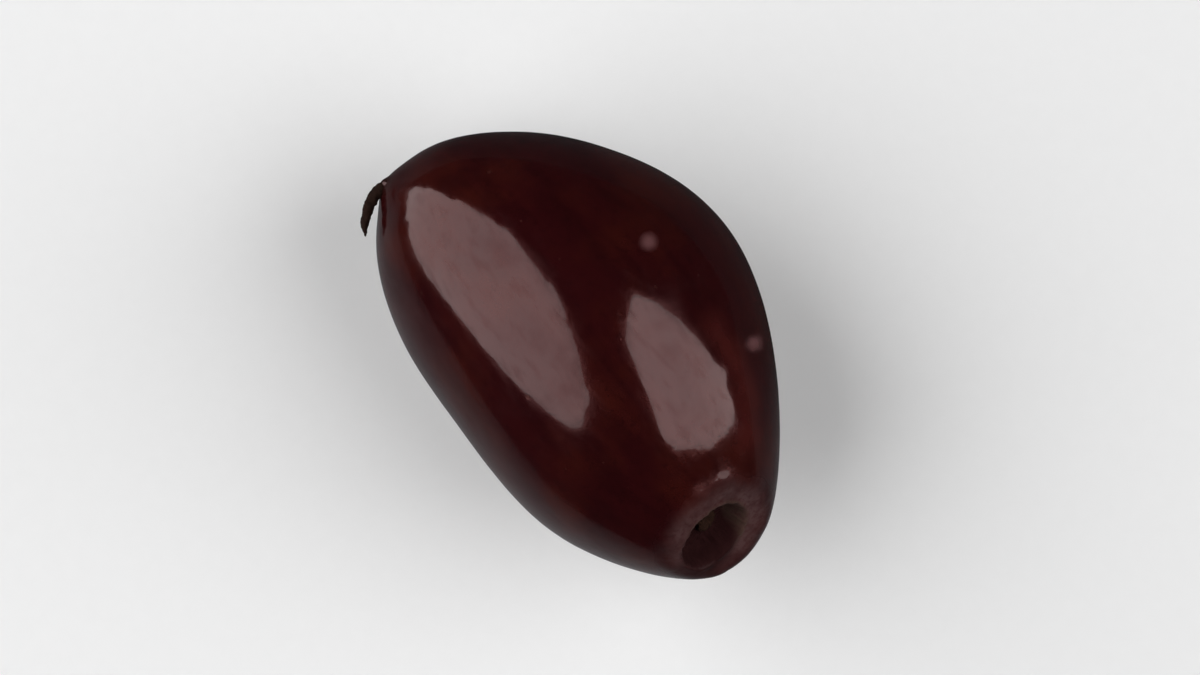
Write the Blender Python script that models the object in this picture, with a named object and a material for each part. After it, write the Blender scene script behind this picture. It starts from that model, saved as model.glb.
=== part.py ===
"""An olive, cured and stemless, lying on its side on a small flat spot.

The fruit is one solid. Its length runs along X, from the pointed tip at -X to the stem end at +X. Its fuller side,
the belly, faces +Y, and the stem cavity looks up and outwards at the stem end. The origin is on the ground, under
the middle of the fruit's box. Lengths are in metres.
"""

from math import acos, atan2, cos, exp, hypot, pi, sin

import bmesh
import bpy
from mathutils import Matrix, Quaternion, Vector

NAME = "olive"

# Overall size
LENGTH = 0.02665
WIDTH = 0.01715
HEIGHT = 0.0168

# How the two ends narrow from a plain ellipse: the share of the girth lost, and where along the fruit it is lost
TIP_TAPER = 0.110
TIP_TAPER_AT = 0.870
TIP_TAPER_SPAN = 0.050
STEM_TAPER = 0.260
STEM_TAPER_AT = 0.865
STEM_TAPER_SPAN = 0.085

# Where the tip, the stem cavity and the middle of the stem end lie on the unit ball that the fruit is shaped from
TIP_AXIS = Vector((-0.964, -0.226, 0.139)).normalized()
STEM_AXIS = Vector((0.898, 0.007, 0.440)).normalized()
STEM_END_AXIS = Vector((0.997, -0.043, 0.070)).normalized()

# The curve of the middle line: the belly's swell to +Y, and the rise of both ends
BELLY = 0.00182
BELLY_AT = 0.45
BELLY_SPAN = 0.30
STEM_RISE = 0.00190
TIP_RISE = 0.00080
RISE_POWER = 4

# Stem cavity: a flat face across the shoulder, square to the cavity's own axis, with a shallow dish round a deeper pit
# inside a low rounded rim
CAVITY_MIDDLE = Vector((0.01132, 0.00007, 0.00404))
CAVITY_AXIS = Vector((0.806, 0.113, 0.581)).normalized()
FACE_EDGE = 0.00035
DISH_RADIUS = 0.0022
DISH_DEPTH = 0.00025
PIT_RADIUS = 0.00190
PIT_WALL = 0.00070
PIT_DEPTH = 0.00110
RIM_RADIUS = 0.0030
RIM_SPAN = 0.0006
RIM_HEIGHT = 0.00016
SCAR_RADIUS = 0.00060
SCAR_HEIGHT = 0.00014

# The dried style at the tip: a swelling, and a small thorn on it
NIB_SWELL_RADIUS = 0.00125
NIB_SWELL_HEIGHT = 0.00034
NIB_RADIUS = 0.00030
NIB_HEIGHT = 0.00032

# Broad waves in the skin, each with its direction and tightness, its phase and its height
SKIN_WAVES = (
    (Vector((2.1, 3.4, 1.2)), 0.4, 0.00005),
    (Vector((-3.1, 1.7, 2.9)), 1.9, 0.00004),
    (Vector((5.2, -2.3, 3.8)), 4.1, 0.00003),
)

# Soft dents, each with its place on the unit ball, its radius and its depth
DENTS = (
    (Vector((0.14, 0.66, 0.74)), 0.0022, 0.00014),
    (Vector((-0.38, -0.72, 0.55)), 0.0030, 0.00016),
    (Vector((0.52, 0.30, -0.74)), 0.0034, 0.00018),
    (Vector((-0.55, 0.62, -0.48)), 0.0028, 0.00014),
)

# The flat spot that the fruit rests on, as a depth cut from its underside
FLAT_DEPTH = 0.00022

# The mesh: its sides and rings, and how much closer the rings are at both ends
SIDES = 64
RINGS = 62
RING_GATHER = 0.80

# Skin colour and finish
SKIN_COLOUR = (0.030, 0.0035, 0.0050, 1.0)
SKIN_ROUGHNESS = 0.22


def swell(distance, span):
    """A smooth bump: 1 at distance 0, fading out past the span."""
    return exp(-((distance / span) ** 2))


def ease(value, low, high):
    """Rise smoothly from 0 at low to 1 at high."""
    share = min(max((value - low) / (high - low), 0.0), 1.0)
    return share * share * (3.0 - 2.0 * share)


def onset(value, middle, span):
    """Rise smoothly from 0 to 1, half way at the middle."""
    return 1.0 / (1.0 + exp((middle - value) / span))


def turned_to_ends(direction):
    """Turn the ball's two poles, which start on X, to the tip and the stem."""
    tip_share = ((1.0 - direction.x) / 2.0) ** 4
    stem_share = ((1.0 + direction.x) / 2.0) ** 4
    to_tip = Vector((-1.0, 0.0, 0.0)).rotation_difference(TIP_AXIS)
    to_stem = Vector((1.0, 0.0, 0.0)).rotation_difference(STEM_AXIS)
    turned = Quaternion().slerp(to_tip, tip_share) @ direction
    return Quaternion().slerp(to_stem, stem_share) @ turned


def gathered(direction):
    """Slide a point of the ball along its meridian, so that the rings crowd at both poles."""
    from_pole = acos(max(-1.0, min(1.0, -direction.x)))
    around = atan2(direction.z, direction.y)
    from_pole -= RING_GATHER * sin(2.0 * from_pole) / 2.0
    return Vector((-cos(from_pole), sin(from_pole) * cos(around), sin(from_pole) * sin(around)))


def flesh(direction):
    """The plain body: an ellipse that narrows to both ends, on a curved middle line."""
    along = (1.0 + direction.x) / 2.0
    tip_share = (1.0 + direction.dot(TIP_AXIS)) / 2.0
    stem_share = (1.0 + direction.dot(STEM_END_AXIS)) / 2.0
    girth = 1.0 - TIP_TAPER * onset(tip_share, TIP_TAPER_AT, TIP_TAPER_SPAN)
    girth -= STEM_TAPER * onset(stem_share, STEM_TAPER_AT, STEM_TAPER_SPAN)
    middle_y = BELLY * swell(along - BELLY_AT, BELLY_SPAN)
    middle_z = STEM_RISE * along**RISE_POWER + TIP_RISE * (1.0 - along) ** RISE_POWER
    x = LENGTH / 2.0 * direction.x
    y = WIDTH / 2.0 * girth * direction.y + middle_y
    z = HEIGHT / 2.0 * girth * direction.z + middle_z
    return Vector((x, y, z))


def outward(direction):
    """The body's outward normal, from two small steps on the ball."""
    step = 0.001
    side = direction.orthogonal().normalized()
    other = direction.cross(side)
    here = flesh(direction)
    across = flesh((direction + side * step).normalized()) - here
    along = flesh((direction + other * step).normalized()) - here
    return across.cross(along).normalized()


def waves(direction):
    """The height of the broad waves in the skin."""
    return sum(height * sin(tightness.dot(direction) + phase) for tightness, phase, height in SKIN_WAVES)


def dents(point):
    """How deep the soft dents are at a point of the body."""
    return sum(depth * swell((point - flesh(place.normalized())).length, radius) for place, radius, depth in DENTS)


def faced(point):
    """Bring a point that is past the cavity's flat face back to it, with a softened edge."""
    past = (point - CAVITY_MIDDLE).dot(CAVITY_AXIS)
    return point - CAVITY_AXIS * ((past + hypot(past, FACE_EDGE)) / 2.0)


def stem_cavity(distance):
    """Height of the cavity's face, with its rim, dish, pit and scar, at a distance from its middle."""
    dish = DISH_DEPTH * swell(distance, DISH_RADIUS)
    pit = PIT_DEPTH * (1.0 - ease(distance, PIT_RADIUS - PIT_WALL, PIT_RADIUS))
    rim = RIM_HEIGHT * swell(distance - RIM_RADIUS, RIM_SPAN)
    scar = SCAR_HEIGHT * swell(distance, SCAR_RADIUS)
    return rim + scar - dish - pit


def tip_nib(distance):
    """Height of the dried style, at a distance from the tip."""
    return NIB_SWELL_HEIGHT * swell(distance, NIB_SWELL_RADIUS) + NIB_HEIGHT * swell(distance, NIB_RADIUS)


def skin(direction):
    """A point of the finished surface, before the flat spot is cut."""
    point = flesh(direction)
    height = waves(direction) - dents(point) + tip_nib((point - flesh(TIP_AXIS)).length)
    point = faced(point + outward(direction) * height)
    return point + CAVITY_AXIS * stem_cavity((point - CAVITY_MIDDLE).length)


def olive_mesh():
    """The fruit's mesh: a ball whose points are moved onto the skin, with its underside flattened."""
    ball = bmesh.new()
    poles_on_x = Matrix.Rotation(pi / 2.0, 4, "Y")
    bmesh.ops.create_uvsphere(ball, u_segments=SIDES, v_segments=RINGS, radius=1.0, matrix=poles_on_x)
    for vertex in ball.verts:
        vertex.co = skin(turned_to_ends(gathered(vertex.co.normalized())))
    ground = min(vertex.co.z for vertex in ball.verts) + FLAT_DEPTH
    for vertex in ball.verts:
        vertex.co.z = max(vertex.co.z, ground)
    lowest, highest = box(ball.verts)
    for vertex in ball.verts:
        vertex.co -= Vector(((lowest.x + highest.x) / 2.0, (lowest.y + highest.y) / 2.0, ground))
    bmesh.ops.recalc_face_normals(ball, faces=ball.faces)
    mesh = bpy.data.meshes.new(NAME)
    ball.to_mesh(mesh)
    ball.free()
    mesh.shade_smooth()
    return mesh


def box(vertices):
    """The lowest and highest corners of the box round some vertices."""
    places = [vertex.co for vertex in vertices]
    lowest = Vector([min(place[axis] for place in places) for axis in range(3)])
    highest = Vector([max(place[axis] for place in places) for axis in range(3)])
    return lowest, highest


def skin_material():
    """Dark red-maroon skin with a thin film of oil."""
    material = bpy.data.materials.new("skin")
    material.use_nodes = True
    finish = material.node_tree.nodes["Principled BSDF"]
    finish.inputs["Base Color"].default_value = SKIN_COLOUR
    finish.inputs["Roughness"].default_value = SKIN_ROUGHNESS
    finish.inputs["Metallic"].default_value = 0.0
    return material


def build():
    """Empty the scene and place the olive in its own collection."""
    for thing in list(bpy.data.objects):
        bpy.data.objects.remove(thing)
    collection = bpy.data.collections.new(NAME)
    bpy.context.scene.collection.children.link(collection)
    olive = bpy.data.objects.new(NAME, olive_mesh())
    olive.data.materials.append(skin_material())
    collection.objects.link(olive)


build()
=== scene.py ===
"""The looks of a cured olive: wet, dark red skin with its stem cavity, scar, dried style and pale pores.

The skin is grown in Geometry Nodes from the same rule as the solid it stands for, with finer folds, puckers and
ripples. The olive lies on a pale floor between two soft lamps, under a camera that looks straight down. Lengths are
in metres, and the frame is the part's: X runs from the pointed tip to the stem end, and Z is up.
"""

from math import cos, pi, radians, sin

import bpy
from mathutils import Matrix, Vector


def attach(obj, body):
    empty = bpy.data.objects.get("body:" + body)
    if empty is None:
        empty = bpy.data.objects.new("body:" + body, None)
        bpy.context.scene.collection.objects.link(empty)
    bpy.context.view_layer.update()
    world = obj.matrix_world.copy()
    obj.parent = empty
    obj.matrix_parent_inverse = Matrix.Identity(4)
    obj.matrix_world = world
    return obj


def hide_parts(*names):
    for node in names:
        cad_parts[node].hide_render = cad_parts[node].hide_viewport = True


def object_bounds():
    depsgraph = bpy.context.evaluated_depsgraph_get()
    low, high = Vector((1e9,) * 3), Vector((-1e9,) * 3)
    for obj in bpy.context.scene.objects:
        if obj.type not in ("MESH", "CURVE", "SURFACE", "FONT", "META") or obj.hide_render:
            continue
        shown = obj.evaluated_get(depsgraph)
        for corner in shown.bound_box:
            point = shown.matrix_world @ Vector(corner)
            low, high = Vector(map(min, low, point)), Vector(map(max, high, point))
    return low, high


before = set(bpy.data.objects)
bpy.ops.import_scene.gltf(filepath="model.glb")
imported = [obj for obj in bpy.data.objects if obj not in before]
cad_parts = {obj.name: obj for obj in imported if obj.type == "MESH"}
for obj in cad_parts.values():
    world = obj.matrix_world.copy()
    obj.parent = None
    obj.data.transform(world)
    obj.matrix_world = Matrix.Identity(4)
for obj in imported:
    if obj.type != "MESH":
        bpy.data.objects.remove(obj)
CAD_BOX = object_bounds()
BODY = "root"
NODE = "olive"
MM = 0.001

# The body: an ellipse that narrows to both ends, on a curved middle line
FLESH_SIZES = {
    "Length": 26.65 * MM,
    "Width": 17.15 * MM,
    "Height": 16.8 * MM,
    "Tip taper": 0.110,
    "Stem taper": 0.260,
    "Belly": 1.82 * MM,
    "Stem rise": 1.90 * MM,
    "Tip rise": 0.80 * MM,
}
TIP_TAPER_AT = 0.870
TIP_TAPER_SPAN = 0.050
STEM_TAPER_AT = 0.865
STEM_TAPER_SPAN = 0.085
BELLY_AT = 0.45
BELLY_SPAN = 0.30
RISE_POWER = 4

# Where the tip, the stem cavity and the middle of the stem end lie on the unit ball that the body is shaped from
TIP_AXIS = Vector((-0.964, -0.226, 0.139)).normalized()
STEM_AXIS = Vector((0.898, 0.007, 0.440)).normalized()
STEM_END_AXIS = Vector((0.997, -0.043, 0.070)).normalized()

# The flat face across the shoulder that carries the stem cavity: its middle on the body, and the cavity's own axis
CAVITY_MIDDLE = Vector((11.32, 0.07, 4.04)) * MM
CAVITY_AXIS = Vector((0.806, 0.113, 0.581)).normalized()

# Two directions across that face: level, and towards the underside, where painted shade darkens the cavity's rim and
# pit
CAVITY_SIDE = Vector((-0.139, 0.990, 0.0)).normalized()
CAVITY_SHADOW_SIDE = Vector((0.505, -0.643, -0.576)).normalized()

# Broad waves and soft dents of the solid
SKIN_WAVES = (
    (Vector((2.1, 3.4, 1.2)), 0.4, 0.05 * MM),
    (Vector((-3.1, 1.7, 2.9)), 1.9, 0.04 * MM),
    (Vector((5.2, -2.3, 3.8)), 4.1, 0.03 * MM),
)
DENTS = (
    (Vector((0.14, 0.66, 0.74)), 2.2 * MM, 0.14 * MM),
    (Vector((-0.38, -0.72, 0.55)), 3.0 * MM, 0.16 * MM),
    (Vector((0.52, 0.30, -0.74)), 3.4 * MM, 0.18 * MM),
    (Vector((-0.55, 0.62, -0.48)), 2.8 * MM, 0.14 * MM),
)

# The skin's relief: the stem cavity and the tip as on the solid, but for a lower rim and thorn, then the finer forms
# that only the looks have
RELIEF_SIZES = {
    "Face edge": 0.35 * MM,
    "Dish radius": 2.2 * MM,
    "Dish depth": 0.25 * MM,
    "Pit radius": 1.90 * MM,
    "Pit wall": 0.70 * MM,
    "Pit depth": 1.10 * MM,
    "Rim radius": 3.0 * MM,
    "Rim span": 0.60 * MM,
    "Rim height": 0.10 * MM,
    "Scar radius": 0.60 * MM,
    "Scar height": 0.14 * MM,
    "Nib swell radius": 1.25 * MM,
    "Nib swell height": 0.34 * MM,
    "Nib radius": 0.30 * MM,
    "Nib height": 0.20 * MM,
    "Flat depth": 0.22 * MM,
    "Ragged edge": 0.22 * MM,
    "Oval share": 0.09,
    "Lopsided share": 0.13,
    "Lip height": 0.07 * MM,
    "Pucker height": 0.023 * MM,
    "Pit roughness": 0.10 * MM,
    "Cork roughness": 0.024 * MM,
    "Crease depth": 0.012 * MM,
    "Crease spacing": 2.6 * MM,
    "Ripple height": 0.006 * MM,
    "Ripple size": 0.9 * MM,
    "Bulge height": 0.022 * MM,
    "Bulge size": 4.2 * MM,
    "Spot height": 0.022 * MM,
    "Spot radius": 0.42 * MM,
}

# How those forms are laid out: the pit's oval outline and its lip, the folds and the cork on its rim, the puckers of
# the tip, the creases and the edge of the flat spot
OVAL_PHASE = 3.24
OVAL_THIRD = 0.4
LIP_SPAN = 0.17 * MM
PUCKERS = 11.0
PUCKER_SPAN = 0.60 * MM
CORK_SPAN = 0.55 * MM
TIP_PUCKERS = 9.0
TIP_PUCKER_AT = 0.9 * MM
TIP_PUCKER_SPAN = 0.6 * MM
TIP_PUCKER_SHARE = 0.07
CREASE_STRETCH = Vector((0.22, 1.0, 1.0))
CREASE_WIDTH = 0.16
CREASE_ZONE = (0.45, 0.95)
CREASE_SHARES = (0.25, 0.4)
FLAT_SOFTNESS = 0.10 * MM

# How large the soft noise of each of them is
RAGGED_GRAIN = 0.75 * MM
TEAR_GRAIN = 0.9 * MM
PUCKER_GRAIN = 1.6 * MM
TIP_PUCKER_GRAIN = 1.3 * MM
PIT_GRAIN = 0.28 * MM
CORK_BUMPS = 0.20 * MM

# The ball that the skin is shaped from: how soon the turn of its poles fades, how far its rings gather at them, and
# how many segments and rings it has
TURN_POWER = 4.0
RING_GATHER = 0.62
SKIN_SEGMENTS = 320
SKIN_RINGS = 300

# Warmer, paler red patches on the flank, then a deeper place that is painted shade, each with its radius
WARM_PATCHES = (
    (Vector((3.4, 4.8, 14.2)) * MM, 1.5 * MM),
    (Vector((4.9, 4.6, 13.9)) * MM, 1.7 * MM),
    (Vector((6.4, 4.1, 13.5)) * MM, 1.9 * MM),
    (Vector((7.6, 3.3, 13.4)) * MM, 1.9 * MM),
    (Vector((8.6, 2.4, 13.3)) * MM, 1.6 * MM),
    (Vector((-6.0, 6.5, 9.0)) * MM, 3.2 * MM),
    (Vector((5.5, -6.0, 5.0)) * MM, 2.4 * MM),
)
WARM_PATCH_WANDER = 0.6
WARM_PATCH_STRENGTH = 0.75
PAINTED_SHADES = ((Vector((-2.0, -7.6, 7.5)) * MM, 5.5 * MM),)
PAINTED_SHADE_STRENGTH = 0.5

# The two spots, as seen from above: small raised bumps, each with a pale painted glint
SPOT_BUMPS_AND_GLINTS = (Vector((-2.1, 4.93, 0.0)) * MM, Vector((5.20, 5.78, 0.0)) * MM)
PAINTED_GLINT_STRENGTH = 0.8

# The dried style: its root below the tip's skin, its bend and its end from the tip, then its ridges and knots
STYLE_ROOT = 0.25 * MM
STYLE_BEND = Vector((0.16, -1.35, 0.05)) * MM
STYLE_END = Vector((1.62, -2.42, -0.30)) * MM
RIDGE_STRETCH = Vector((1.0, 0.22, 1.0))
RIDGE_GRAIN = 0.11 * MM
KNOT_GRAIN = 0.34 * MM

# The scar's outline and hollow, on a ball of radius 1, then the grains of its lumps and crumbs
SCAR_HOLLOW = 0.40
SCAR_OUTLINE_GRAIN = 0.9
SCAR_NARROWEST = 0.55
SCAR_VARIETY = 0.9
LUMP_GRAIN = 0.26 * MM
CRUMB_GRAIN = 0.085 * MM

# Where the skin's finishes start and end: round the cavity's middle, towards its side of painted shade, at the tip
# and round a spot's painted glint
RING_ZONE = (2.3 * MM, 3.4 * MM)
DRY_ZONE = (2.5 * MM, 3.9 * MM)
WALL_ZONE = (1.65 * MM, 2.05 * MM)
PIT_SHADOW_ZONE = (1.25 * MM, 1.80 * MM)
RING_SHADOW_ZONE = (1.2 * MM, 2.5 * MM)
TIP_ZONE = (0.25 * MM, 1.0 * MM)
PAINTED_GLINT_ZONE = (0.08 * MM, 0.62 * MM)

# How far the edges of those finishes wander, and over what length
EDGE_WANDER = 1.1 * MM
EDGE_GRAIN = 1.8 * MM

# How much the pit's painted shade, its near-black floor, shifts sideways off the cavity's middle, and how much
# towards its shaded side
PIT_SHADOW_BESIDE = 0.22
PIT_SHADOW_TOWARDS = 0.26

# Grain, pores and dryness of the skin
CORK_GRAIN = 0.25 * MM
CORK_PATCH = 1.1 * MM
LARGE_PORES = {"Spacing": 2.2 * MM, "Pore radius": 0.20 * MM}
DRYNESS = 0.85
DRY_ROUGHNESS = 0.85
GRAIN_DEPTH = 0.0035 * MM
DRY_GRAIN = 6.0

# How streaks and smears stretch along the fruit
STREAK_STRETCH = Vector((0.16, 1.0, 1.0))
SMEAR_STRETCH = Vector((0.30, 1.0, 1.0))

# Patches and grain of the two corky pieces, which are far smaller than the skin
CORKY_PATCHES = {"Patch size": 0.6 * MM, "Streak size": 0.25 * MM, "Fleck size": 0.10 * MM}
CORKY_GRAIN = {"Bump size": 0.07 * MM, "Grit size": 0.03 * MM}
CORKY_DEPTH = 0.006 * MM

# Colours of the finishes
MOTTLED_RED = {
    "Skin colour": (0.0228, 0.0024, 0.0030, 1.0),
    "Patch colour": (0.0400, 0.0057, 0.0035, 1.0),
    "Deep colour": (0.0105, 0.0012, 0.0019, 1.0),
}
TORN_COLOURS = ((0.030, 0.013, 0.008, 1.0), (0.004, 0.0015, 0.001, 1.0))
STYLE_COLOURS = ((0.020, 0.009, 0.006, 1.0), (0.006, 0.0024, 0.0016, 1.0))
WARM_PATCH_COLOUR = (0.066, 0.0105, 0.0085, 1.0)
PORE_COLOUR = (0.058, 0.019, 0.015, 1.0)
# Painted glint on the two raised spots
PAINTED_GLINT_COLOUR = (0.150, 0.064, 0.066, 1.0)
CORK_COLOUR = (0.074, 0.038, 0.038, 1.0)
WALL_COLOUR = (0.050, 0.031, 0.022, 1.0)
# Painted shade: the near black of the pit
PIT_SHADOW_COLOUR = (0.0095, 0.0014, 0.0018, 1.0)
# Painted shade for one place on the flank
PAINTED_SHADE_COLOUR = (0.0120, 0.0010, 0.0018, 1.0)
TIP_COLOUR = (0.016, 0.006, 0.005, 1.0)
SPECULAR_TINT = (1.0, 0.43, 0.42, 1.0)

# The camera looks straight down, and its picture is turned about Z against the olive's length
PICTURE_TURN = radians(50.1)
LENS = 200.0
SENSOR = 36.0
PICTURE_WIDTH = 61.0 * MM
NEAREST_SEEN = 1.0 * MM
FARTHEST_SEEN = 100.0

# Both lamps are soft panels that face the olive, with a few straight sides and rounded corners. For each: the tilt
# from straight up, the lift along the picture, the radiance, then each side's direction in degrees and its reach, as
# a share of the lamp's distance
LAMP_DISTANCE = 0.50
LAMP_CORNERS = 12.0
LAMPS = {
    "lamp_left": (-53.1, 4.3, 2.28, (
        (39.8, 0.699), (79.9, 0.695), (195.8, 0.718), (245.9, 0.715), (304.4, 0.899), (353.9, 0.765),
    )),
    "lamp_right": (45.1, 0.9, 2.55, (
        (45.0, 0.550), (80.4, 0.415), (139.2, 0.510), (208.9, 0.545), (292.2, 0.434),
    )),
}

# How far each panel reaches from its middle, as a share of the same distance: just past the furthest of its corners
LAMP_REACH = {"lamp_left": 0.98, "lamp_right": 0.87}

# The floor, as the camera sees it and as the olive mirrors it, and the room
FLOOR_REACH = 3.0
FLOOR_DROP = 0.01 * MM
FLOOR_TOOTH = 0.9 * MM
FLOOR_COLOUR = (0.95, 0.95, 0.95, 1.0)
FLOOR_GRAIN = (0.93, 0.93, 0.93, 1.0)
FLOOR_MIRRORED = (0.21, 0.21, 0.217, 1.0)
FLOOR_FAR = (0.015, 0.015, 0.016, 1.0)
FLOOR_NEAR_REACH = 14.0 * MM
FLOOR_FAR_REACH = 90.0 * MM
FLOOR_END = (0.65 * FLOOR_FAR_REACH, 0.90 * FLOOR_FAR_REACH)
FLOOR_DARK_SIDE = Vector((-0.35, 0.94, 0.0))
FLOOR_DARK_FROM = -0.25
FLOOR_DARK_TO = 0.60
FLOOR_DARKEST = 0.95
ROOM_COLOUR = (0.90, 0.90, 0.90, 1.0)
ROOM_MIRRORED = (0.015, 0.015, 0.016, 1.0)


class Term:
    """A socket of a node tree that sums are written with: each operation adds the node that works it out."""

    def __init__(self, tree, socket):
        self.tree = tree
        self.socket = socket

    def calc(self, operation, *others):
        """Feed this term and the others to a Math node, or to a Vector Math node if one of them is a vector."""
        terms = (self, *others)
        kind = "ShaderNodeVectorMath" if any(is_vector(term) for term in terms) else "ShaderNodeMath"
        made = self.tree.nodes.new(kind)
        made.operation = operation
        for socket, term in zip(made.inputs, terms):
            feed(self.tree, socket, term)
        return Term(self.tree, next(socket for socket in made.outputs if socket.enabled))

    def __add__(self, other):
        return self.calc("ADD", other)

    def __sub__(self, other):
        return self.calc("SUBTRACT", other)

    def __mul__(self, other):
        return self.calc("MULTIPLY", other)

    def __truediv__(self, other):
        return self.calc("DIVIDE", other)

    def __pow__(self, other):
        return self.calc("POWER", other)

    def __neg__(self):
        return self * -1.0

    def __rsub__(self, other):
        return -self + other

    def also(self, name):
        """Another output of the same node."""
        return Term(self.tree, named(self.socket.node.outputs, name))

    def split(self):
        """The X, Y and Z of a vector."""
        x = grow(self.tree, "ShaderNodeSeparateXYZ", {"Vector": self})
        return x, x.also("Y"), x.also("Z")


def is_vector(term):
    """Whether a term, or a plain value beside one, is a vector."""
    return term.socket.type == "VECTOR" if isinstance(term, Term) else isinstance(term, (Vector, tuple))


def named(sockets, name):
    """The socket of that name that is in use, since some nodes hold one for each kind of data."""
    return next(socket for socket in sockets if socket.name == name and socket.enabled)


def feed(tree, socket, value):
    """Link a term to a socket, or set the socket's own value."""
    if isinstance(value, Term):
        tree.links.new(value.socket, socket)
    elif socket.type == "VECTOR" and isinstance(value, float):
        socket.default_value = (value, value, value)
    else:
        socket.default_value = value


def grow(tree, kind, feeds=None, output=None, **settings):
    """Add a node with its settings and what feeds its inputs, and return its first output or the one named."""
    made = tree.nodes.new(kind)
    for name, value in settings.items():
        setattr(made, name, value)
    for name, value in (feeds or {}).items():
        feed(tree, named(made.inputs, name), value)
    if output is None:
        return Term(tree, next(socket for socket in made.outputs if socket.enabled))
    return Term(tree, named(made.outputs, output))


def new_tree(name, kind, inputs, outputs):
    """A node group with named inputs, as {name: (socket type, value)}, and named outputs, as {name: socket type}."""
    tree = bpy.data.node_groups.new(name, kind)
    for label, (socket_type, value) in inputs.items():
        socket = tree.interface.new_socket(label, in_out="INPUT", socket_type=socket_type)
        if value is not None:
            socket.default_value = value
    for label, socket_type in outputs.items():
        tree.interface.new_socket(label, in_out="OUTPUT", socket_type=socket_type)
    entry = tree.nodes.new("NodeGroupInput")
    return tree, {socket.name: Term(tree, socket) for socket in entry.outputs if socket.name}


def put_out(tree, **results):
    """Feed the tree's outputs, named with underscores for spaces."""
    leave = tree.nodes.new("NodeGroupOutput")
    for name, term in results.items():
        feed(tree, leave.inputs[name.replace("_", " ")], term)


def use(tree, group, feeds):
    """Place a node group in a tree and return its first output."""
    kind = "GeometryNodeGroup" if group.bl_idname == "GeometryNodeTree" else "ShaderNodeGroup"
    made = tree.nodes.new(kind)
    made.node_tree = group
    for name, value in feeds.items():
        feed(tree, made.inputs[name], value)
    return Term(tree, made.outputs[0])


def vector(tree, x, y, z):
    """A vector from three terms or numbers."""
    return grow(tree, "ShaderNodeCombineXYZ", {"X": x, "Y": y, "Z": z})


def fixed(tree, value):
    """A vector that stays the same all over."""
    x, y, z = value
    return vector(tree, x, y, z)


def swell(distance, span):
    """A smooth bump: 1 at distance 0, fading out past the span."""
    share = distance / span
    return (-(share * share)).calc("EXPONENT")


def onset(value, middle, span):
    """Rise smoothly from 0 to 1, half way at the middle."""
    return (((middle - value) / span).calc("EXPONENT") + 1.0) ** -1.0


def ease(value, low, high, start=0.0, end=1.0):
    """Go smoothly from the start value at low to the end value at high."""
    feeds = {"Value": value, "From Min": low, "From Max": high, "To Min": start, "To Max": end}
    return grow(value.tree, "ShaderNodeMapRange", feeds, interpolation_type="SMOOTHSTEP")


def noise(place, size, detail=2.0, roughness=0.5):
    """Soft noise from 0 to 1 whose features are about that size."""
    scale = 1.0 / size if isinstance(size, float) else size ** -1.0
    feeds = {"Vector": place, "Scale": scale, "Detail": detail, "Roughness": roughness}
    return grow(place.tree, "ShaderNodeTexNoise", feeds)


def both_ways(value):
    """Stretch a value from 0..1 to -1..1."""
    return value * 2.0 - 1.0


def flesh_group():
    """The plain body: where a direction of the unit ball lands."""
    inputs = {"Direction": ("NodeSocketVector", None)}
    inputs |= {name: ("NodeSocketFloat", value) for name, value in FLESH_SIZES.items()}
    tree, given = new_tree("flesh", "GeometryNodeTree", inputs, {"Position": "NodeSocketVector"})
    direction = given["Direction"]
    x, y, z = direction.split()
    along = (x + 1.0) / 2.0
    tip_share = (direction.calc("DOT_PRODUCT", TIP_AXIS) + 1.0) / 2.0
    stem_share = (direction.calc("DOT_PRODUCT", STEM_END_AXIS) + 1.0) / 2.0
    girth = 1.0 - given["Tip taper"] * onset(tip_share, TIP_TAPER_AT, TIP_TAPER_SPAN)
    girth = girth - given["Stem taper"] * onset(stem_share, STEM_TAPER_AT, STEM_TAPER_SPAN)
    middle_y = given["Belly"] * swell(along - BELLY_AT, BELLY_SPAN)
    middle_z = given["Stem rise"] * along ** RISE_POWER + given["Tip rise"] * (1.0 - along) ** RISE_POWER
    wide = given["Width"] / 2.0 * girth * y + middle_y
    high = given["Height"] / 2.0 * girth * z + middle_z
    put_out(tree, Position=vector(tree, given["Length"] / 2.0 * x, wide, high))
    return tree


def turned(direction, start, end, share):
    """Turn a direction by a share of the turn that brings start to end."""
    axis = start.cross(end).normalized()
    feeds = {"Vector": direction, "Axis": axis, "Angle": share * start.angle(end)}
    return grow(direction.tree, "ShaderNodeVectorRotate", feeds, rotation_type="AXIS_ANGLE")


def ball_direction(tree, place):
    """The unit ball's points, with its poles turned to the tip and the stem and its rings gathered there."""
    x, y, z = place.split()
    from_tip = (-z).calc("MINIMUM", 1.0).calc("MAXIMUM", -1.0).calc("ARCCOSINE")
    around = (-x).calc("ARCTAN2", y)
    from_tip = from_tip - (from_tip * 2.0).calc("SINE") * (RING_GATHER / 2.0)
    girth = from_tip.calc("SINE")
    direction = vector(tree, -from_tip.calc("COSINE"), girth * around.calc("COSINE"), girth * around.calc("SINE"))
    along = direction.split()[0]
    tip_share = ((1.0 - along) / 2.0) ** TURN_POWER
    stem_share = ((along + 1.0) / 2.0) ** TURN_POWER
    to_tip = turned(direction, Vector((-1.0, 0.0, 0.0)), TIP_AXIS, tip_share)
    return turned(to_tip, Vector((1.0, 0.0, 0.0)), STEM_AXIS, stem_share)


def angle_round(place, centre, axis):
    """The angle of a point about an axis through the centre."""
    side = axis.orthogonal().normalized()
    arm = place - centre
    return arm.calc("DOT_PRODUCT", axis.cross(side)).calc("ARCTAN2", arm.calc("DOT_PRODUCT", side))


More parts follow.
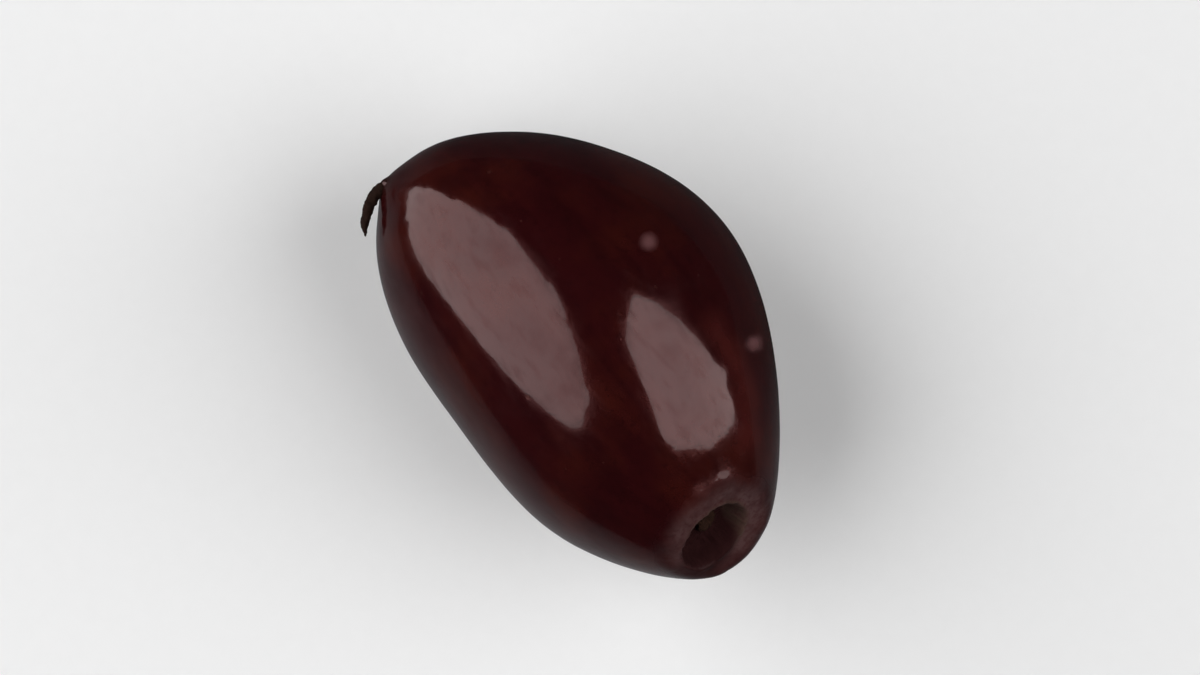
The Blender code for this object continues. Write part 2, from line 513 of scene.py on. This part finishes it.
def stem_relief(given, place, distance, angle, beside):
    """Height of the skin about the stem cavity: a puckered rim, a torn lip and a rough pit."""
    ragged = both_ways(noise(place, RAGGED_GRAIN, 4.0, 0.6)) * given["Ragged edge"]
    oval = (angle * 2.0 + OVAL_PHASE).calc("SINE") + (angle * 3.0).calc("SINE") * OVAL_THIRD
    pit_edge = given["Pit radius"] * (oval * given["Oval share"] + 1.0) + ragged - beside * given["Lopsided share"]
    pit_share = ease(distance, pit_edge - given["Pit wall"], pit_edge, 1.0, 0.0)
    dish = given["Dish depth"] * swell(distance, given["Dish radius"])
    rim = given["Rim height"] * swell(distance - given["Rim radius"], given["Rim span"])
    scar = given["Scar height"] * swell(distance, given["Scar radius"])
    torn = ease(noise(place, TEAR_GRAIN, 2.0), 0.40, 0.62)
    lip = given["Lip height"] * swell(distance - pit_edge, LIP_SPAN) * torn
    wander = noise(place, PUCKER_GRAIN) * 5.0
    folds = (angle * PUCKERS + wander).calc("SINE") * swell(distance - given["Rim radius"], PUCKER_SPAN)
    rough = both_ways(noise(place, PIT_GRAIN, 4.0, 0.6)) * pit_share
    cork = both_ways(noise(place, CORK_BUMPS, 3.0, 0.6)) * swell(distance - given["Rim radius"], CORK_SPAN)
    height = rim + scar + lip - dish - given["Pit depth"] * pit_share
    height = height + folds * given["Pucker height"] + cork * given["Cork roughness"]
    return height + rough * given["Pit roughness"]


def tip_relief(given, place, distance, angle):
    """Height of the skin about the tip: its swelling, with a few short puckers round the dried style."""
    swelling = given["Nib swell height"] * swell(distance, given["Nib swell radius"])
    nib = given["Nib height"] * swell(distance, given["Nib radius"])
    wander = noise(place, TIP_PUCKER_GRAIN) * 6.0
    folds = (angle * TIP_PUCKERS + wander).calc("SINE") * swell(distance - TIP_PUCKER_AT, TIP_PUCKER_SPAN)
    return swelling + nib + folds * given["Pucker height"] * TIP_PUCKER_SHARE


def from_above(place, spot):
    """How far a point is from a spot in the view from above."""
    return (place * Vector((1.0, 1.0, 0.0))).calc("DISTANCE", spot)


def fine_relief(given, place, along):
    """Height of the skin's own relief: soft bulges, thin creases along the fruit and a fine ripple."""
    bulges = both_ways(noise(place, given["Bulge size"], 1.0)) * given["Bulge height"]
    crease = both_ways(noise(place * CREASE_STRETCH, given["Crease spacing"], 2.0)).calc("ABSOLUTE")
    near_ends = ease(along.calc("ABSOLUTE"), *CREASE_ZONE, *CREASE_SHARES)
    creases = ease(crease, 0.0, CREASE_WIDTH, 1.0, 0.0) * near_ends * given["Crease depth"]
    ripple = both_ways(noise(place, given["Ripple size"], 2.0, 0.45)) * given["Ripple height"]
    return bulges - creases + ripple


def flattened(tree, geometry, depth):
    """Rest the geometry on a flat spot, cut that deep from its underside, and fit it to the solid's box."""
    position = grow(tree, "GeometryNodeInputPosition")
    x, y, z = position.split()
    lowest = grow(tree, "GeometryNodeAttributeStatistic", {"Geometry": geometry, "Attribute": z}, output="Min")
    ground = lowest + depth
    level = z.calc("SMOOTH_MAX", ground, FLAT_SOFTNESS)
    geometry = grow(tree, "GeometryNodeSetPosition", {"Geometry": geometry, "Position": vector(tree, x, y, level)})
    low = grow(tree, "GeometryNodeBoundBox", {"Geometry": geometry}, output="Min")
    high = low.also("Max")
    cad_low, cad_high = CAD_BOX
    spread = fixed(tree, cad_high - cad_low) / (high - low) * Vector((0.0, 1.0, 1.0)) + Vector((1.0, 0.0, 0.0))
    move = fixed(tree, cad_high) - high * spread
    return grow(tree, "GeometryNodeTransform", {"Geometry": geometry, "Translation": move, "Scale": spread})


def remember(tree, geometry, name, value, data_type="FLOAT"):
    """Keep a value at each point under a name, for later steps and for the materials."""
    feeds = {"Geometry": geometry, "Name": name, "Value": value}
    return grow(tree, "GeometryNodeStoreNamedAttribute", feeds, data_type=data_type, domain="POINT")


def recall(tree, name, data_type="FLOAT"):
    """Read a value that was kept under a name."""
    return grow(tree, "GeometryNodeInputNamedAttribute", {"Name": name}, output="Attribute", data_type=data_type)


def finished(tree, geometry, material):
    """Shade smooth, make instances real and give the material."""
    geometry = grow(tree, "GeometryNodeSetShadeSmooth", {"Geometry": geometry})
    geometry = grow(tree, "GeometryNodeRealizeInstances", {"Geometry": geometry})
    return grow(tree, "GeometryNodeSetMaterial", {"Geometry": geometry, "Material": material})


def skin_tree(flesh):
    """The skin: a ball shaped to the flesh, then raised and sunk along its own outward direction."""
    inputs = {"Segments": ("NodeSocketInt", SKIN_SEGMENTS), "Rings": ("NodeSocketInt", SKIN_RINGS)}
    inputs |= {name: ("NodeSocketFloat", size) for name, size in (FLESH_SIZES | RELIEF_SIZES).items()}
    inputs["Material"] = ("NodeSocketMaterial", None)
    tree, given = new_tree("olive skin", "GeometryNodeTree", inputs, {"Geometry": "NodeSocketGeometry"})
    sizes = {name: given[name] for name in FLESH_SIZES}

    def landing(direction):
        """Where a direction lands on the flesh."""
        return use(tree, flesh, sizes | {"Direction": direction})

    position = grow(tree, "GeometryNodeInputPosition")
    feeds = {"Segments": given["Segments"], "Rings": given["Rings"], "Radius": 1.0}
    ball = grow(tree, "GeometryNodeMeshUVSphere", feeds)
    body = remember(tree, ball, "ball", ball_direction(tree, position), "FLOAT_VECTOR")
    direction = recall(tree, "ball", "FLOAT_VECTOR")
    body = grow(tree, "GeometryNodeSetPosition", {"Geometry": body, "Position": landing(direction)})

    tip = landing(fixed(tree, TIP_AXIS))
    body = remember(tree, body, "from_tip", position.calc("DISTANCE", tip))
    height = fine_relief(given, position, direction.split()[0])
    height = height + tip_relief(given, position, recall(tree, "from_tip"), angle_round(position, tip, TIP_AXIS))
    for tightness, phase, rise in SKIN_WAVES:
        height = height + (direction.calc("DOT_PRODUCT", tightness) + phase).calc("SINE") * rise
    for place, radius, depth in DENTS:
        dent = landing(fixed(tree, place.normalized()))
        height = height - swell(position.calc("DISTANCE", dent), radius) * depth
    for spot in SPOT_BUMPS_AND_GLINTS:
        height = height + swell(from_above(position, spot), given["Spot radius"]) * given["Spot height"]
    outward = grow(tree, "GeometryNodeInputNormal")
    body = grow(tree, "GeometryNodeSetPosition", {"Geometry": body, "Offset": outward * height})

    past = (position - CAVITY_MIDDLE).calc("DOT_PRODUCT", CAVITY_AXIS)
    back = (past + (past * past + given["Face edge"] * given["Face edge"]).calc("SQRT")) / 2.0
    axis = fixed(tree, CAVITY_AXIS)
    body = grow(tree, "GeometryNodeSetPosition", {"Geometry": body, "Offset": axis * back * -1.0})
    body = remember(tree, body, "from_stem", position.calc("DISTANCE", CAVITY_MIDDLE))
    body = remember(tree, body, "round_stem", angle_round(position, CAVITY_MIDDLE, CAVITY_AXIS))
    arm = position - CAVITY_MIDDLE
    body = remember(tree, body, "beside_stem", arm.calc("DOT_PRODUCT", CAVITY_SIDE))
    # Kept for the painted shade on the cavity's underside
    body = remember(tree, body, "shadow_side", arm.calc("DOT_PRODUCT", CAVITY_SHADOW_SIDE))
    around = (recall(tree, name) for name in ("from_stem", "round_stem", "beside_stem"))
    rise = stem_relief(given, position, *around)
    body = grow(tree, "GeometryNodeSetPosition", {"Geometry": body, "Offset": axis * rise})
    body = flattened(tree, body, given["Flat depth"])
    put_out(tree, Geometry=finished(tree, body, given["Material"]))
    return tree


def grown(name, tree, values):
    """Run a tree and keep what it makes as a plain mesh object."""
    seed = bpy.data.objects.new(name, bpy.data.meshes.new(name))
    bpy.context.scene.collection.objects.link(seed)
    modifier = seed.modifiers.new(name, "NODES")
    modifier.node_group = tree
    for item in tree.interface.items_tree:
        if item.item_type == "SOCKET" and item.in_out == "INPUT" and item.name in values:
            modifier[item.identifier] = values[item.name]
    mesh = bpy.data.meshes.new_from_object(seed.evaluated_get(bpy.context.evaluated_depsgraph_get()))
    seed.modifiers.remove(modifier)
    bpy.data.objects.remove(seed)
    mesh.name = name
    piece = bpy.data.objects.new(name, mesh)
    bpy.context.scene.collection.objects.link(piece)
    return piece


def material_tree(name):
    """A new material's tree and its Principled shader."""
    material = bpy.data.materials.new(name)
    material.use_nodes = True
    return material, material.node_tree, material.node_tree.nodes["Principled BSDF"]


def blend(first, second, share):
    """Mix two colours by a share from 0 to 1."""
    tree = share.tree
    feeds = {"Factor": share, "A": first, "B": second}
    return grow(tree, "ShaderNodeMix", feeds, output="Result", data_type="RGBA")


def kept(tree, name):
    """Read a value that the skin keeps at each point, in a material."""
    return grow(tree, "ShaderNodeAttribute", output="Fac", attribute_name=name)


def mottling_group():
    """Colour that drifts between three shades, in soft patches, faint streaks along the fruit and small flecks."""
    inputs = {
        "Place": ("NodeSocketVector", None),
        "Skin colour": ("NodeSocketColor", (0.03, 0.003, 0.004, 1.0)),
        "Patch colour": ("NodeSocketColor", (0.05, 0.005, 0.005, 1.0)),
        "Deep colour": ("NodeSocketColor", (0.01, 0.0015, 0.0025, 1.0)),
        "Patch size": ("NodeSocketFloat", 5.5 * MM),
        "Streak size": ("NodeSocketFloat", 1.1 * MM),
        "Fleck size": ("NodeSocketFloat", 0.32 * MM),
    }
    tree, given = new_tree("mottling", "ShaderNodeTree", inputs, {"Colour": "NodeSocketColor"})
    place = given["Place"]
    patches = ease(noise(place, given["Patch size"], 3.0, 0.55), 0.42, 0.66)
    streaks = ease(noise(place * STREAK_STRETCH, given["Streak size"], 3.0), 0.40, 0.70)
    flecks = ease(noise(place, given["Fleck size"], 2.0), 0.56, 0.70)
    colour = blend(given["Skin colour"], given["Patch colour"], patches * 0.75)
    colour = blend(colour, given["Deep colour"], streaks * 0.45)
    colour = blend(colour, given["Deep colour"], flecks * 0.35)
    put_out(tree, Colour=colour)
    return tree


def pores_group():
    """Small pale pores, scattered by size and strength, with soft uneven edges."""
    inputs = {
        "Place": ("NodeSocketVector", None),
        "Spacing": ("NodeSocketFloat", 0.85 * MM),
        "Pore radius": ("NodeSocketFloat", 0.07 * MM),
    }
    tree, given = new_tree("pores", "ShaderNodeTree", inputs, {"Pores": "NodeSocketFloat"})
    feeds = {"Vector": given["Place"], "Scale": given["Spacing"] ** -1.0, "Randomness": 1.0}
    cell = grow(tree, "ShaderNodeTexVoronoi", feeds, output="Distance")
    uneven = both_ways(noise(given["Place"], given["Pore radius"])) * given["Pore radius"] * 0.4
    reach = cell * given["Spacing"] + uneven
    size = cell.also("Color").calc("DOT_PRODUCT", Vector((0.34, 0.33, 0.33)))
    edge = given["Pore radius"] * (size + 0.35)
    put_out(tree, Pores=ease(reach, edge * 0.25, edge, 1.0, 0.0) * ease(size, 0.35, 0.75))
    return tree


def film_group():
    """The oily film: how much coat there is and how rough the skin under it is, thinner in soft patches."""
    inputs = {
        "Place": ("NodeSocketVector", None),
        "Full coat": ("NodeSocketFloat", 0.560),
        "Thin coat": ("NodeSocketFloat", 0.32),
        "Smooth": ("NodeSocketFloat", 0.11),
        "Rough": ("NodeSocketFloat", 0.22),
        "Patch size": ("NodeSocketFloat", 3.2 * MM),
        "Smear size": ("NodeSocketFloat", 0.6 * MM),
    }
    outputs = {"Coat": "NodeSocketFloat", "Roughness": "NodeSocketFloat"}
    tree, given = new_tree("oil film", "ShaderNodeTree", inputs, outputs)
    patches = ease(noise(given["Place"], given["Patch size"], 4.0, 0.6), 0.46, 0.72)
    smears = ease(noise(given["Place"] * SMEAR_STRETCH, given["Smear size"], 3.0, 0.6), 0.45, 0.70)
    dry = patches.calc("MAXIMUM", smears * 0.75)
    coat = given["Full coat"] + (given["Thin coat"] - given["Full coat"]) * dry
    roughness = given["Smooth"] + (given["Rough"] - given["Smooth"]) * dry
    put_out(tree, Coat=coat, Roughness=roughness)
    return tree


def grain_group():
    """A fine grain for a Bump node: soft goose bumps with a finer grit on them."""
    inputs = {
        "Place": ("NodeSocketVector", None),
        "Bump size": ("NodeSocketFloat", 0.22 * MM),
        "Grit size": ("NodeSocketFloat", 0.06 * MM),
        "Grit share": ("NodeSocketFloat", 0.25),
    }
    tree, given = new_tree("grain", "ShaderNodeTree", inputs, {"Height": "NodeSocketFloat"})
    bumps = noise(given["Place"], given["Bump size"], 1.0)
    grit = noise(given["Place"], given["Grit size"], 1.0)
    put_out(tree, Height=bumps + (grit - bumps) * given["Grit share"])
    return tree


def raise_by(tree, shader, height, distance):
    """Feed a height to the shader's Normal through a Bump node."""
    bump = grow(tree, "ShaderNodeBump", {"Height": height, "Distance": distance, "Strength": 1.0})
    feed(tree, shader.inputs["Normal"], bump)


def set_plain(shader, **values):
    """Set sockets that are the same all over on the shader itself, named with underscores for spaces."""
    for name, value in values.items():
        shader.inputs[name.replace("_", " ")].default_value = value


def flank_colour(tree, groups, place, wander):
    """The skin's mottled red, warmer in a few patches, darkened in one place by painted shade, with a painted glint
    on its two raised spots, and paler where its fine pores are.
    """
    mottled = use(tree, groups["mottling"], MOTTLED_RED | {"Place": place})
    warmth = 0.0
    # Paler, warmer red round a few places on the flank
    for spot, radius in WARM_PATCHES:
        from_spot = place.calc("DISTANCE", spot) + wander * WARM_PATCH_WANDER
        warmth = ease(from_spot, 0.0, radius, 0.75, 0.0) + warmth
    colour = blend(mottled, WARM_PATCH_COLOUR, warmth.calc("SMOOTH_MIN", 1.0, 0.5) * WARM_PATCH_STRENGTH)
    # Painted shade: the skin is darkened round one place on the flank
    for spot, radius in PAINTED_SHADES:
        shade = ease(place.calc("DISTANCE", spot) + wander, 0.3 * radius, radius, 1.0, 0.0)
        colour = blend(colour, PAINTED_SHADE_COLOUR, shade * PAINTED_SHADE_STRENGTH)
    fine = use(tree, groups["pores"], {"Place": place})
    large = use(tree, groups["pores"], LARGE_PORES | {"Place": place})
    pores = fine * 0.8 + large
    colour = blend(colour, PORE_COLOUR, pores * 0.6)
    # Painted glint: a pale pinkish disc over each raised spot
    for spot in SPOT_BUMPS_AND_GLINTS:
        pale = ease(from_above(place, spot) + wander * 0.22, *PAINTED_GLINT_ZONE, 1.0, 0.0)
        colour = blend(colour, PAINTED_GLINT_COLOUR, pale * PAINTED_GLINT_STRENGTH)
    return colour, pores


def wet_film(tree, groups, place, shader):
    """The oily film's coat and roughness, with the settings that are the same all over the wet skin."""
    set_plain(shader, Metallic=0.0, IOR=1.48, Coat_Roughness=0.05, Coat_IOR=1.42, Specular_IOR_Level=0.44,
              Specular_Tint=SPECULAR_TINT)
    film = use(tree, groups["oil film"], {"Place": place})
    return film, film.also("Roughness")


def skin_finish(groups):
    """Wet, dark red-maroon skin that turns dull and greyish on the cavity's rim, with painted shade that makes the
    pit near black and darkens the rim on one side.
    """
    material, tree, shader = material_tree("wet olive skin")
    place = grow(tree, "ShaderNodeTexCoord", output="Object")
    from_stem = kept(tree, "from_stem")
    shadow_side = kept(tree, "shadow_side")
    wander = both_ways(noise(place, EDGE_GRAIN, 3.0)) * EDGE_WANDER
    colour, pores = flank_colour(tree, groups, place, wander)

    cork_grain = noise(place, CORK_GRAIN, 3.0, 0.6)
    ring = ease(from_stem + wander * 0.30, *RING_ZONE, 1.0, 0.0) * ease(cork_grain, 0.25, 0.60, 0.35, 1.0)
    patchy = ease(noise(place, CORK_PATCH), 0.32, 0.58, 0.45, 1.0)
    # Painted shade: the rim keeps less of its pale colour on the side towards the underside
    ring_shadow = ease(shadow_side + wander * 0.3, *RING_SHADOW_ZONE, 1.0, 0.25)
    colour = blend(colour, CORK_COLOUR, ring * patchy * ring_shadow * 0.85)
    wall = ease(from_stem + wander * 0.12, *WALL_ZONE, 1.0, 0.0)
    colour = blend(colour, WALL_COLOUR, wall * ease(cork_grain, 0.30, 0.65, 0.4, 1.0))
    # Painted shade: the pit turns near black, off its middle towards the shaded side
    from_pit_shadow = from_stem + kept(tree, "beside_stem") * PIT_SHADOW_BESIDE - shadow_side * PIT_SHADOW_TOWARDS
    colour = blend(colour, PIT_SHADOW_COLOUR, ease(from_pit_shadow + wander * 0.20, *PIT_SHADOW_ZONE, 1.0, 0.0))
    dry_tip = ease(kept(tree, "from_tip") + wander * 0.2, *TIP_ZONE, 1.0, 0.0)
    colour = blend(colour, TIP_COLOUR, dry_tip * 0.8)
    feed(tree, shader.inputs["Base Color"], colour)

    coat, roughness = wet_film(tree, groups, place, shader)
    dry_face = ease(from_stem + wander * 0.45, *DRY_ZONE, DRYNESS, 0.0)
    dull = (dry_face + wall).calc("MINIMUM", 1.0)
    feed(tree, shader.inputs["Roughness"], roughness + (DRY_ROUGHNESS - roughness) * dull + pores * 0.08)
    feed(tree, shader.inputs["Coat Weight"], coat * (1.0 - dull))
    grain = use(tree, groups["grain"], {"Place": place})
    raise_by(tree, shader, grain + cork_grain * dull * DRY_GRAIN - pores * 0.8, GRAIN_DEPTH)
    return material


def cork_finish(groups, name, colours, roughness):
    """A dry, corky finish for the torn stem and the dried style."""
    material, tree, shader = material_tree(name)
    place = grow(tree, "ShaderNodeTexCoord", output="Object")
    colour, deep_colour = colours
    feeds = {"Place": place, "Skin colour": colour, "Patch colour": colour, "Deep colour": deep_colour}
    feed(tree, shader.inputs["Base Color"], use(tree, groups["mottling"], feeds | CORKY_PATCHES))
    set_plain(shader, Metallic=0.0, Roughness=roughness, Specular_IOR_Level=0.08)
    raise_by(tree, shader, use(tree, groups["grain"], CORKY_GRAIN | {"Place": place}), CORKY_DEPTH)
    return material


def floor_finish():
    """A matt pale floor. In the olive's gloss it is a painted reflection: dimmer, painted darker towards one side,
    and ending not far away.
    """
    material, tree, shader = material_tree("pale floor")
    place = grow(tree, "ShaderNodeTexCoord", output="Object")
    mirrored = grow(tree, "ShaderNodeLightPath", output="Is Glossy Ray")
    shade = blend(FLOOR_COLOUR, FLOOR_GRAIN, noise(place, FLOOR_TOOTH, 3.0))
    reach = place.calc("LENGTH")
    aside = place.calc("DOT_PRODUCT", FLOOR_DARK_SIDE) / reach
    # Painted reflection: darker in the gloss towards one side, though the floor is lit evenly
    painted_dark = ease(aside, FLOOR_DARK_FROM, FLOOR_DARK_TO, 0.0, FLOOR_DARKEST)
    far = ease(reach, FLOOR_NEAR_REACH, FLOOR_FAR_REACH).calc("MAXIMUM", painted_dark)
    feed(tree, shader.inputs["Base Color"], blend(shade, blend(FLOOR_MIRRORED, FLOOR_FAR, far), mirrored))
    feed(tree, shader.inputs["Alpha"], 1.0 - mirrored * ease(reach, *FLOOR_END))
    set_plain(shader, Roughness=0.9, Specular_IOR_Level=0.2)
    return material


def scar_tree():
    """What is left of the stem: a crumbly brown scar on the floor of the pit, with a hollow in its middle."""
    inputs = {
        "Middle": ("NodeSocketVector", None),
        "Outward": ("NodeSocketVector", None),
        "Radius": ("NodeSocketFloat", 0.66 * MM),
        "Thickness": ("NodeSocketFloat", 0.24 * MM),
        "Hollow": ("NodeSocketFloat", 0.14 * MM),
        "Lumps": ("NodeSocketFloat", 0.13 * MM),
        "Crumbs": ("NodeSocketFloat", 0.10 * MM),
        "Segments": ("NodeSocketInt", 120),
        "Rings": ("NodeSocketInt", 80),
        "Material": ("NodeSocketMaterial", None),
    }
    tree, given = new_tree("stem scar", "GeometryNodeTree", inputs, {"Geometry": "NodeSocketGeometry"})
    feeds = {"Segments": given["Segments"], "Rings": given["Rings"], "Radius": 1.0}
    scar = grow(tree, "GeometryNodeMeshUVSphere", feeds)
    place = grow(tree, "GeometryNodeInputPosition")
    x, y, z = place.split()
    hollow = swell((x * x + y * y).calc("SQRT"), SCAR_HOLLOW) * z.calc("GREATER_THAN", 0.0) * given["Hollow"]
    outline = noise(vector(tree, x, y, 0.0), SCAR_OUTLINE_GRAIN, 2.0)
    wide = given["Radius"] * (outline * SCAR_VARIETY + SCAR_NARROWEST)
    shaped = vector(tree, x * wide, y * wide, z * given["Thickness"] - hollow)
    scar = grow(tree, "GeometryNodeSetPosition", {"Geometry": scar, "Position": shaped})
    lumps = both_ways(noise(place, LUMP_GRAIN, 2.0)) * given["Lumps"]
    crumbs = both_ways(noise(place, CRUMB_GRAIN, 3.0, 0.6)).calc("ABSOLUTE") * given["Crumbs"]
    feeds = {"Geometry": scar, "Offset": grow(tree, "GeometryNodeInputNormal") * (lumps - crumbs)}
    scar = grow(tree, "GeometryNodeSetPosition", feeds)
    facing = grow(tree, "FunctionNodeAlignRotationToVector", {"Vector": given["Outward"]}, axis="Z")
    feeds = {"Geometry": scar, "Translation": given["Middle"], "Rotation": facing}
    scar = grow(tree, "GeometryNodeTransform", feeds)
    put_out(tree, Geometry=finished(tree, scar, given["Material"]))
    return tree


def style_tree():
    """The dried style: a thin crooked sliver, pointed at both ends, that bends back along the fruit's side."""
    inputs = {
        "Root": ("NodeSocketVector", None),
        "Bend": ("NodeSocketVector", None),
        "End": ("NodeSocketVector", None),
        "Radius": ("NodeSocketFloat", 0.30 * MM),
        "Early swell": ("NodeSocketFloat", 0.55),
        "Knots": ("NodeSocketFloat", 0.12 * MM),
        "Ridges": ("NodeSocketFloat", 0.05 * MM),
        "Sides": ("NodeSocketInt", 32),
        "Steps": ("NodeSocketInt", 72),
        "Material": ("NodeSocketMaterial", None),
    }
    tree, given = new_tree("dried style", "GeometryNodeTree", inputs, {"Geometry": "NodeSocketGeometry"})
    feeds = {"Resolution": given["Steps"], "Start": given["Root"], "Middle": given["Bend"], "End": given["End"]}
    path = grow(tree, "GeometryNodeCurveQuadraticBezier", feeds)
    along = grow(tree, "GeometryNodeSplineParameter", output="Factor")
    share = both_ways(along ** given["Early swell"])
    radius = (1.0 - share * share).calc("MAXIMUM", 0.0).calc("SQRT") * given["Radius"]
    path = grow(tree, "GeometryNodeSetCurveRadius", {"Curve": path, "Radius": radius})
    ring = grow(tree, "GeometryNodeCurvePrimitiveCircle", {"Resolution": given["Sides"], "Radius": 1.0})
    feeds = {"Curve": path, "Profile Curve": ring, "Scale": grow(tree, "GeometryNodeInputRadius"), "Fill Caps": True}
    thorn = grow(tree, "GeometryNodeCurveToMesh", feeds)
    place = grow(tree, "GeometryNodeInputPosition")
    ridges = both_ways(noise(place * RIDGE_STRETCH, RIDGE_GRAIN, 2.0)) * given["Ridges"]
    knots = both_ways(noise(place, KNOT_GRAIN, 2.0)) * given["Knots"] + ridges
    feeds = {"Geometry": thorn, "Offset": grow(tree, "GeometryNodeInputNormal") * knots}
    thorn = grow(tree, "GeometryNodeSetPosition", feeds)
    put_out(tree, Geometry=finished(tree, thorn, given["Material"]))
    return tree


def nearest(mesh, name):
    """The vertex whose kept value is the smallest: its place and its outward direction."""
    values = mesh.attributes[name].data
    index = min(range(len(values)), key=lambda i: values[i].value)
    return mesh.vertices[index].co.copy(), mesh.vertices[index].normal.copy()


def dress(piece, material):
    """Give a finished piece its one material and say what it rides on."""
    piece.data.materials.clear()
    piece.data.materials.append(material)
    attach(piece, BODY)


def panel_glow(lamp, middle, across, along, sides):
    """Light the lamp's panel evenly inside its straight sides, and leave it dark past them."""
    lamp.use_nodes = True
    tree = lamp.node_tree
    arm = grow(tree, "ShaderNodeNewGeometry", output="Position") - middle
    reach = 0.0
    for angle, distance in sides:
        outward = across * cos(radians(angle)) + along * sin(radians(angle))
        share = arm.calc("DOT_PRODUCT", outward / (distance * LAMP_DISTANCE)).calc("MAXIMUM", 0.0)
        reach = share ** LAMP_CORNERS + reach
    feed(tree, tree.nodes["Emission"].inputs["Strength"], reach.calc("LESS_THAN", 1.0))


def lamps(centre, right, up):
    """Two soft panels that face the olive from both sides of the picture."""
    picture_up = up.cross(right)
    for name, (tilt, lift, radiance, sides) in LAMPS.items():
        lamp = bpy.data.lights.new(name, "AREA")
        lamp.shape = "SQUARE"
        lamp.size = 2.0 * LAMP_DISTANCE * LAMP_REACH[name]
        lamp.energy = radiance * pi * lamp.size * lamp.size
        level = right * sin(radians(tilt)) + up * cos(radians(tilt))
        towards = level * cos(radians(lift)) + picture_up * sin(radians(lift))
        across = picture_up.cross(towards).normalized()
        along = towards.cross(across)
        middle = centre + towards * LAMP_DISTANCE
        panel_glow(lamp, middle, across, along, sides)
        turn = Matrix((across, along, towards)).transposed()
        holder = bpy.data.objects.new(name, lamp)
        holder.matrix_world = Matrix.Translation(middle) @ turn.to_4x4()
        holder.visible_camera = False
        bpy.context.scene.collection.objects.link(holder)


def room():
    """A pale backdrop for the camera that is dark in what the olive mirrors, as a studio is behind its lamps."""
    world = bpy.data.worlds.new("room")
    world.use_nodes = True
    bpy.context.scene.world = world
    tree = world.node_tree
    seen = grow(tree, "ShaderNodeLightPath", output="Is Camera Ray")
    feed(tree, tree.nodes["Background"].inputs["Color"], blend(ROOM_MIRRORED, ROOM_COLOUR, seen))


def camera(centre, up):
    """A long lens straight above the olive."""
    data = bpy.data.cameras.new("camera")
    data.lens = LENS
    data.sensor_width = SENSOR
    data.clip_start = NEAREST_SEEN
    data.clip_end = FARTHEST_SEEN
    holder = bpy.data.objects.new("camera", data)
    holder.location = centre + up * (PICTURE_WIDTH * LENS / SENSOR)
    holder.rotation_euler = (0.0, 0.0, PICTURE_TURN)
    bpy.context.scene.collection.objects.link(holder)
    bpy.context.scene.camera = holder


def floor():
    """A wide pale floor just under the olive's flat spot."""
    mesh = bpy.data.meshes.new("floor")
    corners = [(x * FLOOR_REACH, y * FLOOR_REACH, -FLOOR_DROP) for x, y in ((-1, -1), (1, -1), (1, 1), (-1, 1))]
    mesh.from_pydata(corners, [], [(0, 1, 2, 3)])
    mesh.materials.append(floor_finish())
    ground = bpy.data.objects.new("floor", mesh)
    bpy.context.scene.collection.objects.link(ground)


def studio():
    """The floor, the lamps, the room and the camera."""
    bpy.context.scene.view_settings.view_transform = "Standard"
    low, high = CAD_BOX
    centre = (low + high) / 2.0
    up = Vector((0.0, 0.0, 1.0))
    right = Vector((cos(PICTURE_TURN), sin(PICTURE_TURN), 0.0))
    floor()
    lamps(centre, right, up)
    room()
    camera(centre, up)


def olive():
    """The skin and the small dried pieces on it."""
    groups = {tree.name: tree for tree in (mottling_group(), pores_group(), film_group(), grain_group())}
    wet = skin_finish(groups)
    skin = grown("olive_skin", skin_tree(flesh_group()), {"Material": wet})
    torn = cork_finish(groups, "torn stem", TORN_COLOURS, 0.9)
    floor_of_pit, out_of_pit = nearest(skin.data, "from_stem")
    scar = grown("stem_scar", scar_tree(), {"Middle": floor_of_pit, "Outward": out_of_pit, "Material": torn})
    dry = cork_finish(groups, "dried style", STYLE_COLOURS, 0.8)
    tip, outward = nearest(skin.data, "from_tip")
    path = {"Root": tip - outward * STYLE_ROOT, "Bend": tip + STYLE_BEND, "End": tip + STYLE_END}
    style = grown("dried_style", style_tree(), path | {"Material": dry})
    dress(skin, wet)
    dress(scar, torn)
    dress(style, dry)
    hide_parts(NODE)


studio()
olive()
